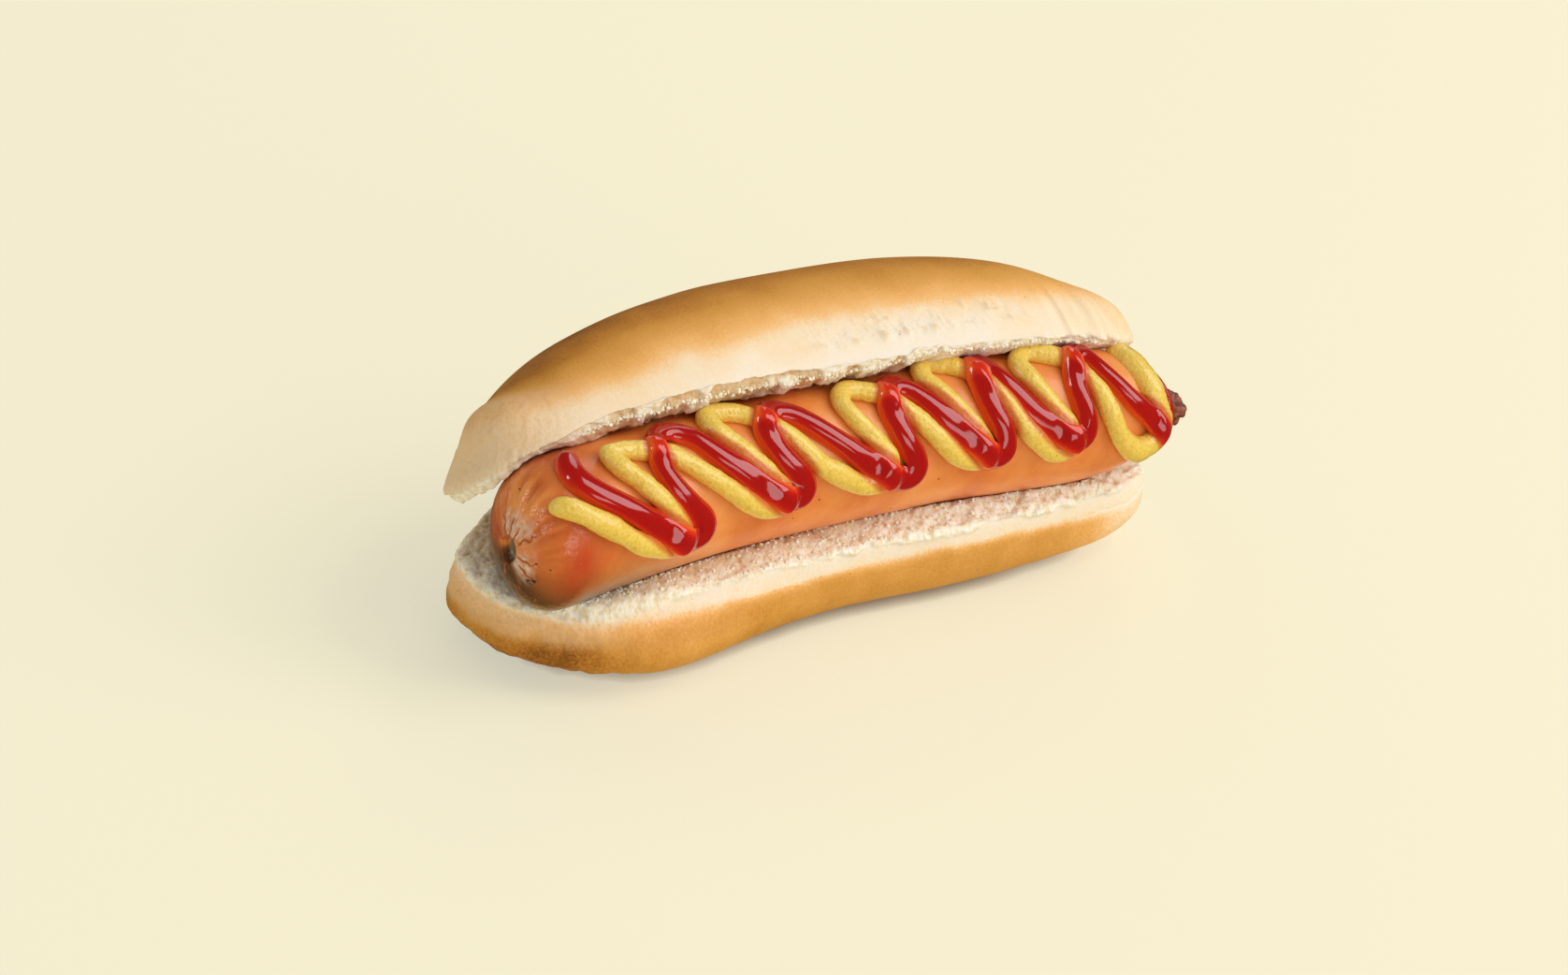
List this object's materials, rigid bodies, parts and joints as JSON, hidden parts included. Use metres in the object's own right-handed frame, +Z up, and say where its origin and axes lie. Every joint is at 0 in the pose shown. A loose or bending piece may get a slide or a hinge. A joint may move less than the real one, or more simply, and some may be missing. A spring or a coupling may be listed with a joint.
{
  "type": "hot dog",
  "caption": "Hot dog: a soft split roll, open along its front, holds a frankfurter with zigzags of mustard and ketchup piped over it.",
  "frame": {"origin": "middle of the footprint, on the surface that the roll stands on", "axes": "+X along the roll towards the sausage's knotted end, +Y towards the hinge of the roll, +Z up; the open side with the sauces faces -Y"},
  "size_m": [0.151, 0.0616, 0.0558],
  "materials": {
    "crust": "soft, matt, baked golden brown",
    "sausage_skin": "moist, glossy, orange-brown",
    "crumb": "white, open, torn bread crumb",
    "mustard": "smooth, satin, yellow",
    "ketchup": "wet, glossy, deep red"
  },
  "bodies": {
    "root": {"roll": "crust", "sausage": "sausage_skin"}
  },
  "joints": []
}
